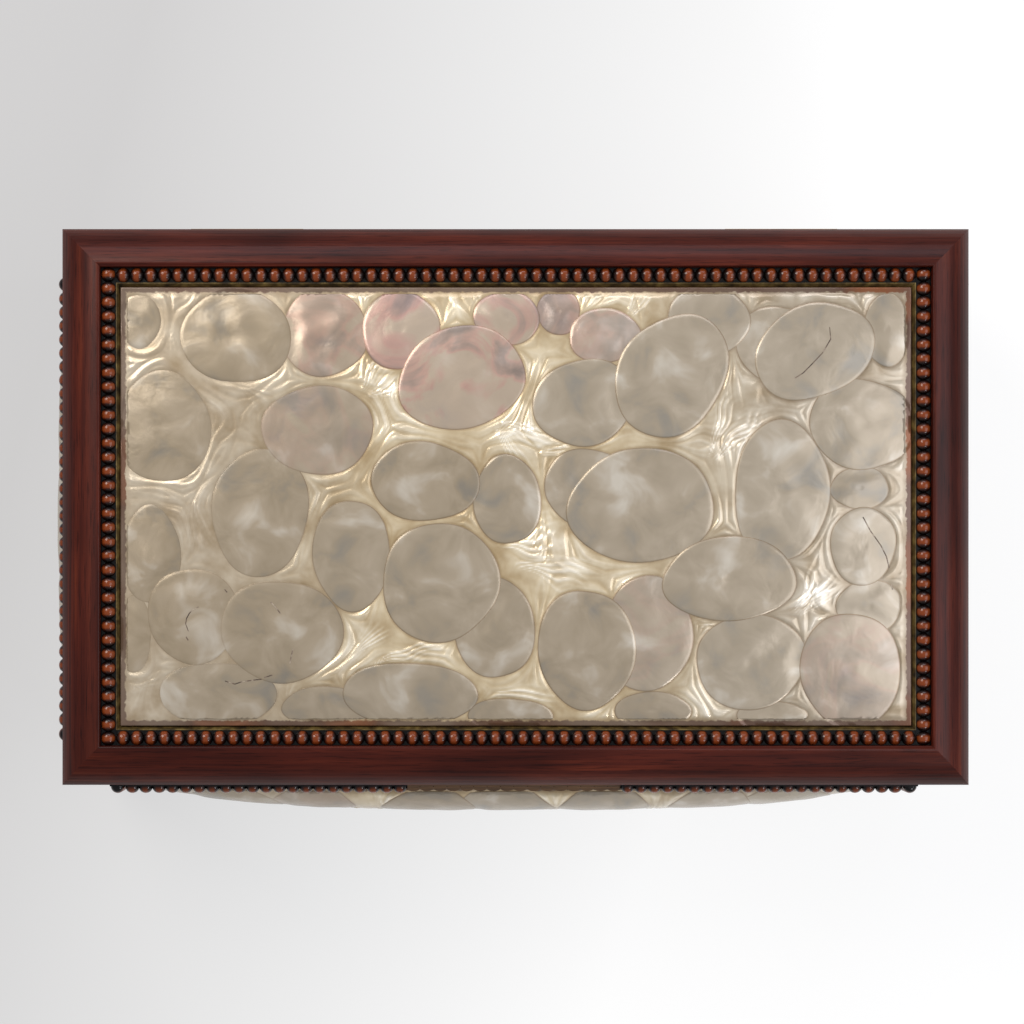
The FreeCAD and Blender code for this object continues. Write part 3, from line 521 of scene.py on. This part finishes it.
def new_object(name, bm, finish):
    """Object of a finished mesh in the scene."""
    mesh = bpy.data.meshes.new(name)
    bm.to_mesh(mesh)
    bm.free()
    mesh.materials.append(finish)
    obj = bpy.data.objects.new(name, mesh)
    scene.collection.objects.link(obj)
    return obj


def piece(name, bm, body, finish, replaced):
    """Mesh object on its body that stands for the CAD nodes it replaces."""
    obj = new_object(name, bm, finish)
    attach(obj, body)
    if replaced:
        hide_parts(*replaced)
    return obj


def dress(node, finish):
    """Give a CAD piece its finish."""
    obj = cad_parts[node]
    if not obj.material_slots:
        obj.data.materials.append(finish)
    for slot in obj.material_slots:
        slot.material = finish


def is_arris(edge, width):
    """Whether an edge is a long sharp corner with room beside it to rub it round."""
    length = edge.calc_length()
    if len(edge.link_faces) != 2 or length < SHORTEST_ARRIS * MM or not edge.is_convex:
        return False
    mitred = any(min(abs(face.normal.x), abs(face.normal.y)) > 0.5 for face in edge.link_faces)
    slender = any(face.calc_area() / length < FACE_SHARE * width * MM for face in edge.link_faces)
    return not mitred and not slender and edge.calc_face_angle() > math.radians(ARRIS_ANGLE)


def eased(node, name, body, finish, width):
    """Copy of a wooden piece with its long outer arrises rubbed round."""
    bm = bmesh.new()
    bm.from_mesh(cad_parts[node].data)
    bmesh.ops.remove_doubles(bm, verts=bm.verts, dist=WELD * MM)
    bmesh.ops.dissolve_limit(bm, angle_limit=math.radians(FLAT_ANGLE), verts=bm.verts, edges=bm.edges)
    arrises = [edge for edge in bm.edges if is_arris(edge, width)]
    rounding = {"segments": EASING_STEPS, "profile": 0.5, "material": -1}
    bmesh.ops.bevel(bm, geom=arrises, offset=width * MM, affect="EDGES", **rounding)
    obj = piece(name, bm, body, finish, [node])
    obj.data.shade_smooth()
    obj.data.set_sharp_from_angle(angle=math.radians(CREASE_ANGLE))


class ShellPanel:
    """A domed shell panel: its frame in the CAD box of its sheet, and the ovals laid on it."""

    def __init__(self, name, body, along, up):
        self.name = name
        self.body = body
        along = Vector(along)
        up = Vector(up)
        out = along.cross(up)
        low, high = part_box(f"{name}_shell_sheet")
        middle = (low + high) / 2
        size = high - low
        self.length = abs(size.dot(along)) / MM
        self.height = abs(size.dot(up)) / MM
        depth = abs(size.dot(out))
        self.crown = depth / MM - SHELL_THICKNESS
        base = middle - out * depth / 2
        self.matrix = Matrix((along, up, out)).transposed().to_4x4()
        self.matrix = Matrix.Translation(base) @ self.matrix @ Matrix.Scale(MM, 4)
        self.ovals = LID_OVALS if name == "lid" else self.side_ovals()
        self.fans = LID_FANS if name == "lid" else self.side_fans()

    def side_ovals(self):
        """Two staggered rows of uneven ovals for a front or side panel."""
        columns = max(2, round(self.length / SIDE_OVAL_PITCH))
        pitch = self.length / columns
        ovals = []
        for rank in (0, 1):
            for column in range(columns + rank):
                step = len(ovals)
                x = (column + 0.5 - 0.5 * rank + 0.12 * math.sin(2.4 * step)) * pitch - self.length / 2
                y = (rank - 0.5) * self.height / 2 + 0.05 * self.height * math.sin(3.1 * step + 1)
                half_x = pitch * (0.5 + 0.05 * math.sin(1.7 * step))
                half_y = self.height * (0.26 + 0.03 * math.cos(2.9 * step))
                ovals.append((x, y, half_x, half_y, 18 * math.sin(5.1 * step)))
        return ovals

    def side_fans(self):
        """Fans of strands between the two rows of ovals."""
        draw = random.Random(self.name)
        fans = []
        for _ in range(round(self.length / SIDE_FAN_PITCH)):
            x = draw.uniform(-0.48, 0.48) * self.length
            y = draw.uniform(-0.4, 0.4) * self.height
            heading = draw.uniform(-180, 180)
            start = heading - SIDE_FAN_HALF
            end = heading + SIDE_FAN_HALF
            fans.append((x, y, start, end, 3, draw.uniform(12, 22), draw.randint(4, 7)))
        return fans

    def surface(self, x, y):
        """Level of the cushion-shaped sheet between its folds."""
        rises = []
        for place, size in ((x, self.length), (y, self.height)):
            share = np.clip(place / size + 0.5, 0, 1)
            rises.append(1 - (1 - share) ** DOME_POWER - share ** DOME_POWER)
        dome = self.crown / (1 - 2 * 0.5 ** DOME_POWER) ** 2 * rises[0] * rises[1]
        return dome + SHELL_THICKNESS - SHEET_DROP


def in_own_axes(oval, x, y):
    """Points measured from an oval's centre along its axes, as shares of its half axes."""
    centre_x, centre_y, half_x, half_y, tilt = oval
    turn = math.radians(tilt)
    dx = x - centre_x
    dy = y - centre_y
    u = dx * math.cos(turn) + dy * math.sin(turn)
    v = dy * math.cos(turn) - dx * math.sin(turn)
    return u / half_x, v / half_y


def unevenness(oval, x, y):
    """Share by which a hand-cut oval's outline leaves the true ellipse, in the direction of each point."""
    u, v = in_own_axes(oval, x, y)
    angle = np.arctan2(v, u)
    start = oval[0] + 2 * oval[1]
    share = 1
    for turns, size in UNEVEN_TURNS:
        share = share + size * np.sin(turns * angle + turns * start)
    return share


def reach_outside(oval, x, y):
    """Distance of points from an oval's outline, negative inside, and their share of its radius."""
    share = np.maximum(np.hypot(*in_own_axes(oval, x, y)) / unevenness(oval, x, y), 1e-6)
    return np.hypot(x - oval[0], y - oval[1]) * (1 - 1 / share), share


def ease(low, high, amount):
    """Smooth step from 0 at low to 1 at high, whichever is larger."""
    part = np.clip((amount - low) / (high - low), 0, 1)
    return part * part * (3 - 2 * part)


def waves(x, y, size, seed, count=7):
    """Soft irregular swell between about -1 and 1, with humps of this size."""
    draw = random.Random(seed)
    total = 0
    for _ in range(count):
        heading = draw.uniform(0, math.tau)
        number = math.tau / (size * draw.uniform(1.2, 2.6))
        start = draw.uniform(0, math.tau)
        total = total + np.sin(number * (x * math.cos(heading) + y * math.sin(heading)) + start)
    return total / math.sqrt(count)


def spots(bm):
    """Places of a mesh's vertices as columns x, y and z."""
    return np.array([vert.co for vert in bm.verts], float).T


def set_spots(bm, x, y, z):
    """Move a mesh's vertices to these places."""
    for vert, spot in zip(bm.verts, zip(x, y, z)):
        vert.co = spot


def set_layer(bm, name, numbers):
    """Keep one number for each vertex under a name that a material reads."""
    layer = bm.verts.layers.float.new(name)
    for vert, number in zip(bm.verts, numbers):
        vert[layer] = number


def of_kind(items, kind):
    """The vertices or edges among what an operator made, each once and in order."""
    return [item for item in dict.fromkeys(items) if isinstance(item, kind)]


def close_rim(bm):
    """Fill every open rim of a mesh."""
    bmesh.ops.holes_fill(bm, edges=[edge for edge in bm.edges if edge.is_boundary])


def add_skirt(bm, level):
    """Close a sheet below with a skirt from its rim to a level, and give the skirt's lower vertices."""
    rim = [edge for edge in bm.edges if edge.is_boundary]
    skirt = bmesh.ops.extrude_edge_only(bm, edges=rim)["geom"]
    low = of_kind(skirt, bmesh.types.BMVert)
    for vert in low:
        vert.co.z = level
    close_rim(bm)
    return low


def slice_off(bm, point, normal, **side):
    """Cut a mesh along a plane and leave out one side."""
    geometry = list(bm.verts) + list(bm.edges) + list(bm.faces)
    bmesh.ops.bisect_plane(bm, geom=geometry, dist=1e-4, plane_co=point, plane_no=normal, **side)


def fan_strands(panel, x, y):
    """Height share of the sharp strands that fan out in the gaps, each of its own strength."""
    strands = np.zeros(len(x))
    for apex_x, apex_y, start, end, near, far, count in panel.fans:
        reach = np.hypot(x - apex_x, y - apex_y)
        middle = math.radians((start + end) / 2)
        half = math.radians((end - start) / 2)
        turn = np.arctan2(y - apex_y, x - apex_x) - middle + STRAND_WANDER * waves(x, y, 9, seed=count)
        turn = (turn + math.pi) % math.tau - math.pi
        place = turn / half * count / 2
        own = 0.6 + 0.4 * np.sin(7.3 * np.round(place) + apex_x)
        crest = own * (1 - np.abs(np.sin(math.pi * place))) ** STRAND_SHARPNESS
        spread = ease(1.15, 0.75, np.abs(turn) / half)
        begun = ease(near * 0.5, near * 1.5, reach)
        ended = ease(far, far * 0.6, reach)
        strands = np.maximum(strands, crest * spread * begun * ended)
    return strands


def drawn_folds(x, y, first, second):
    """Height of the folds that run along a gap and draw together where it narrows."""
    width = np.maximum(first, 0) + np.maximum(second, 0)
    across = (second - first) / (width + 0.5)
    phase = math.pi * (FOLDS * across + FOLD_WANDER * waves(x, y, 12, seed=5))
    strength = np.clip(0.55 + 0.5 * waves(x, y, 15, seed=11), 0.15, 1.0)
    broad = 0.5 + 0.5 * np.cos(phase)
    fine = 0.5 + 0.5 * np.cos(2.8 * phase + 1.6 * waves(x, y, 8, seed=23))
    return strength * (FOLD_HEIGHT * ease(1, 7, width) * broad + FINE_FOLD_HEIGHT * ease(5, 13, width) * fine)


def sheet_grid(panel):
    """Flat grid over a panel, finer wherever no oval covers it."""
    bm = bmesh.new()
    columns = round(panel.length / SHEET_CELL)
    rows = round(panel.height / SHEET_CELL)
    bmesh.ops.create_grid(bm, x_segments=columns, y_segments=rows, size=0.5)
    bmesh.ops.scale(bm, vec=(panel.length, panel.height, 1), verts=bm.verts)
    x, y, _ = spots(bm)
    nearest = np.min([reach_outside(oval, x, y)[0] for oval in panel.ovals], axis=0)
    bm.verts.index_update()
    open_verts = nearest > -OPEN_MARGIN
    cells = [face for face in bm.faces if any(open_verts[vert.index] for vert in face.verts)]
    edges = list(dict.fromkeys(edge for face in cells for edge in face.edges))
    bmesh.ops.subdivide_edges(bm, edges=edges, cuts=SHEET_CUTS, use_grid_fill=True)
    return bm


# The sheet between and under the ovals, drawn into soft folds and fans of strands
def build_sheet(panel, finish):
    bm = sheet_grid(panel)
    x, y, _ = spots(bm)
    first, second = np.sort([reach_outside(oval, x, y)[0] for oval in panel.ovals], axis=0)[:2]
    to_edge = np.minimum(panel.length / 2 - np.abs(x), panel.height / 2 - np.abs(y))
    in_gap = ease(0.0, GAP_SHOULDER, first) * ease(0.8 * BORDER, 1.6 * BORDER, to_edge)
    lively = QUIET_SHARE + (1 - QUIET_SHARE) * ease(*QUIET, x)
    strand = in_gap * fan_strands(panel, x, y) * lively
    folds = in_gap * drawn_folds(x, y, first, second)
    under = UNDER_DROP * ease(0.3, 1.5, -first)
    height = lively * (GAP_LEVEL * in_gap + folds) + STRAND_HEIGHT * strand - under
    set_spots(bm, x, y, panel.surface(x, y) + height)
    set_layer(bm, "edge", to_edge)
    # Gap tone plus strand and fold heights; the sheet's colour whitens with them as painted highlight on the
    # crests
    set_layer(bm, "strand", np.clip(GAP_TONE * in_gap + strand + folds, 0, 1))

    add_skirt(bm, SHEET_BASE)
    bmesh.ops.recalc_face_normals(bm, faces=bm.faces)
    for face in bm.faces:
        face.smooth = face.normal.z > SKIRT_SLOPE
    bmesh.ops.transform(bm, matrix=panel.matrix, verts=bm.verts)
    name = f"{panel.name}_pleated_sheet"
    piece(name, bm, panel.body, finish, [f"{panel.name}_shell_sheet"])


def oval_height(panel, number, x, y):
    """Height of an oval over the sheet: a low rim, a crown, lumps, and a dip under earlier ovals."""
    draw = random.Random(f"{panel.name} {number}")
    oval = panel.ovals[number]
    inset, share = reach_outside(oval, x, y)
    share = np.clip(share, 0, 1)
    bold = draw.uniform(0.2, 0.5) if oval[0] < QUIET[1] else draw.uniform(0.7, 1.3)
    slope = bold * OVAL_WALL * ease(0, OVAL_RIM, -inset)
    lumps = OVAL_LUMPS * waves(x, y, 7, seed=100 + number) * (1 - share ** 4)
    height = OVAL_LIFT + slope + OVAL_CROWN * (1 - share ** 2) + lumps
    for earlier in panel.ovals[:number]:
        clear = ease(0, TUCK_REACH, reach_outside(earlier, x, y)[0])
        height = TUCK_LEVEL + (height - TUCK_LEVEL) * clear
    return height


def half_ball(oval):
    """Upper half of a ball spread over an oval, on a skirt, and which of its vertices lie below."""
    bm = bmesh.new()
    bmesh.ops.create_uvsphere(bm, u_segments=OVAL_SEGMENTS, v_segments=OVAL_RINGS, radius=1)
    slice_off(bm, (0, 0, 0), (0, 0, 1), clear_inner=True)
    low = set(add_skirt(bm, 0))
    under = np.array([vert in low for vert in bm.verts])
    centre_x, centre_y, half_x, half_y, tilt = oval
    place = Matrix.Translation((centre_x, centre_y, 0)) @ Matrix.Rotation(math.radians(tilt), 4, "Z")
    bmesh.ops.scale(bm, vec=(half_x, half_y, 1), verts=bm.verts)
    bmesh.ops.transform(bm, matrix=place, verts=bm.verts)
    return bm, under


# The ovals: shallow pillows of shell with thin sloping rims
def build_ovals(panel, finish):
    whole = bmesh.new()
    draw = random.Random(panel.name)
    for number, oval in enumerate(panel.ovals):
        bm, under = half_ball(oval)
        x, y, _ = spots(bm)
        spread = unevenness(oval, x, y)
        x = oval[0] + (x - oval[0]) * spread
        y = oval[1] + (y - oval[1]) * spread
        height = np.where(under, OVAL_UNDERSIDE, oval_height(panel, number, x, y))
        set_spots(bm, x, y, panel.surface(x, y) + height)
        # Tone of each oval: random, plus painted shade lowering it towards the panel's left and painted light
        # raising it towards the right
        tone = 0.5 + oval[0] / panel.length + draw.uniform(-0.2, 0.2)
        rose = ROSY_OVALS.get(number, 0.0) if panel.name == "lid" else 0.5 * max(0.0, draw.random() - 0.6)
        set_layer(bm, "tone", np.full(len(x), tone))
        set_layer(bm, "inset", -reach_outside(oval, x, y)[0])
        set_layer(bm, "rose", np.full(len(x), rose))
        trim(bm, panel)
        bmesh.ops.recalc_face_normals(bm, faces=bm.faces)
        for face in bm.faces:
            face.smooth = True
        loose = bpy.data.meshes.new("oval")
        bm.to_mesh(loose)
        bm.free()
        whole.from_mesh(loose)
        bpy.data.meshes.remove(loose)
    bmesh.ops.transform(whole, matrix=panel.matrix, verts=whole.verts)
    name = f"{panel.name}_pearl_ovals"
    piece(name, whole, panel.body, finish, [f"{panel.name}_shell_ovals"])


def trim(bm, panel):
    """Cut an oval off straight at the border of its panel and close the cut."""
    limits = (panel.length / 2 - BORDER, panel.height / 2 - BORDER)
    for axis in (0, 1):
        for sign in (-1, 1):
            if max(sign * vert.co[axis] for vert in bm.verts) <= limits[axis]:
                continue
            normal = [0, 0, 0]
            normal[axis] = sign
            point = [0, 0, 0]
            point[axis] = sign * limits[axis]
            slice_off(bm, point, normal, clear_outer=True)
            close_rim(bm)


# Hairline cracks: thin ribbons of dirt that lie on the oval they run through
def build_cracks(panel, finish):
    bm = bmesh.new()
    for path in LID_CRACKS:
        corners = [bm.verts.new((x, y, 0)) for x, y in path]
        line = [bm.edges.new(pair) for pair in zip(corners, corners[1:])]
        made = bmesh.ops.subdivide_edges(bm, edges=line, cuts=CRACK_CUTS, smooth=1.0)["geom"]
        side = bmesh.ops.extrude_edge_only(bm, edges=of_kind(made, bmesh.types.BMEdge))["geom"]
        run = Vector(path[-1]) - Vector(path[0])
        across = Vector((-run.y, run.x, 0)).normalized() * CRACK_WIDTH
        bmesh.ops.translate(bm, verts=of_kind(side, bmesh.types.BMVert), vec=across)
    x, y, _ = spots(bm)
    height = np.zeros(len(x))
    for number in reversed(range(len(panel.ovals))):
        inside = reach_outside(panel.ovals[number], x, y)[0] < 0
        height = np.where(inside, oval_height(panel, number, x, y), height)
    set_spots(bm, x, y, panel.surface(x, y) + height + CRACK_LIFT)
    faces = bm.faces[:]
    bmesh.ops.recalc_face_normals(bm, faces=faces)
    bmesh.ops.solidify(bm, geom=faces, thickness=CRACK_THICKNESS)
    bmesh.ops.recalc_face_normals(bm, faces=bm.faces)
    bmesh.ops.transform(bm, matrix=panel.matrix, verts=bm.verts)
    piece("lid_hairlines", bm, panel.body, finish, [])


def build_shell():
    """Sheets and ovals of the four shell panels, and the lid's cracks."""
    sheet_finish = pearl_sheet()
    oval_finish = pearl_ovals()
    panels = [
        ShellPanel("lid", "lid", (1, 0, 0), (0, 1, 0)),
        ShellPanel("front", "box", (1, 0, 0), (0, 0, 1)),
        ShellPanel("left", "box", (0, -1, 0), (0, 0, 1)),
        ShellPanel("right", "box", (0, 1, 0), (0, 0, 1)),
    ]
    for panel in panels:
        build_sheet(panel, sheet_finish)
        build_ovals(panel, oval_finish)
    build_cracks(panels[0], crack_dirt())


def build_woodwork():
    """Rails, boards, linings, beads, slips, baize and brass."""
    mahogany = {grain: polished_mahogany(grain) for grain in "xy"}
    cedar = {grain: sanded_cedar(grain) for grain in "xy"}
    grain_of = {"front": "x", "back": "x", "left": "y", "right": "y"}
    for side, grain in grain_of.items():
        wood = mahogany[grain]
        eased(f"lid_rail_{side}", f"lid_moulding_{side}", "lid", wood, RAIL_EASING)
        eased(f"body_{side}_board", f"carcase_{side}", "box", wood, BOARD_EASING)
        dress(f"lining_{side}", cedar[grain])
    dress("lining_floor", cedar["x"])
    dress("lid_lining", cedar["x"])
    pine = planed_pine()
    for node in ("base_board", "body_corner_splines", "lid_corner_keys"):
        dress(node, pine)
    dress("base_baize", green_baize())
    gilt = aged_gilt()
    outward = {"lid": (2, 1), "front": (1, -1), "left": (0, -1), "right": (0, 1)}
    for panel, (axis, sign) in outward.items():
        dress(f"{panel}_panel_ground", pine)
        dress(f"{panel}_slip", gilt)
        sides = ("front", "back") if panel == "lid" else ("bottom", "top")
        for side in sides + ("left", "right"):
            beads = turned_beads(f"{panel}_beads_{side}", axis, sign)
            dress(f"{panel}_beads_{side}", beads)
            if (panel, side) == ("front", "top"):
                plane_scoop(beads)
    brass = polished_brass()
    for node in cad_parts:
        if node.startswith("hinge_"):
            dress(node, brass)


# Pale paper: painted shade greys it towards the left and back, painted light whitens it towards the right and
# front, mostly self-lit so that its tone holds under the shadow
def pale_paper():
    material, tree, shader, place = new_finish("pale_paper")
    spot = axes(tree, place)
    # Painted shade towards the left and back, painted light towards the right and front
    slant = maths(tree, "MULTIPLY_ADD", spot["Y"], -0.3, spot["X"])
    painted_light_falloff = remap(tree, slant, -0.19, 0.16)
    tone = ramp(tree, painted_light_falloff, [(0.0, "#D0CFCF"), (0.45, "#ECECEC"), (0.8, "#FFFFFF")])
    wire(tree, shader, {"Base Color": tone, "Roughness": 0.9})
    ray = add(tree, "LightPath").outputs
    seen = maths(tree, "MAXIMUM", ray["Is Camera Ray"], ray["Is Glossy Ray"])
    seen = maths(tree, "MAXIMUM", seen, ray["Is Transmission Ray"])
    share = maths(tree, "MULTIPLY", seen, PAPER_GLOW)
    glow = add(tree, "Emission", {"Color": tone, "Strength": 1.0}).outputs["Emission"]
    paper = add(tree, "MixShader", {"Fac": share, 1: shader.outputs["BSDF"], 2: glow})
    wire(tree, tree.nodes["Material Output"], {"Surface": paper.outputs["Shader"]})
    return material


def build_studio():
    """Paper floor, plain studio light and the camera."""
    bm = bmesh.new()
    bmesh.ops.create_grid(bm, x_segments=1, y_segments=1, size=FLOOR_HALF)
    floor = new_object("floor", bm, pale_paper())

    world = bpy.data.worlds.new("studio")
    scene.world = world
    world.use_nodes = True
    tree = world.node_tree
    wire(tree, tree.nodes["Background"], {"Color": linear("#E6E8EC"), "Strength": 0.45})
    lamps = [
        ("window_left", (-0.62, 0.58, 1.05), (0.60, 0.60), 11.0, "#FFFAF2"),
        ("window_back", (0.15, 1.05, 0.95), (1.0, 0.4), 4.4, "#F4F4FF"),
        ("window_right", (0.85, -0.1, 1.1), (0.9, 0.9), 6.6, "#F8F9FF"),
        ("window_front", (0.62, -0.78, 0.80), (0.22, 0.22), 2.2, "#F6F8FF"),
    ]
    for name, spot, size, watts, colour in lamps:
        light = bpy.data.lights.new(name, "AREA")
        light.shape = "RECTANGLE"
        light.size, light.size_y = size
        light.energy = watts
        light.color = linear(colour)[:3]
        lamp = bpy.data.objects.new(name, light)
        lamp.location = spot
        lamp.rotation_euler = (Vector(LAMP_AIM) - Vector(spot)).to_track_quat("-Z", "Y").to_euler()
        scene.collection.objects.link(lamp)

    camera = bpy.data.cameras.new("camera")
    camera.lens = LENS_MM
    camera.shift_x, camera.shift_y = CAMERA_SHIFT
    viewer = bpy.data.objects.new("camera", camera)
    viewer.location = CAMERA_PLACE
    scene.collection.objects.link(viewer)
    scene.camera = viewer
    scene.view_settings.view_transform = "Standard"


build_woodwork()
build_shell()
build_studio()
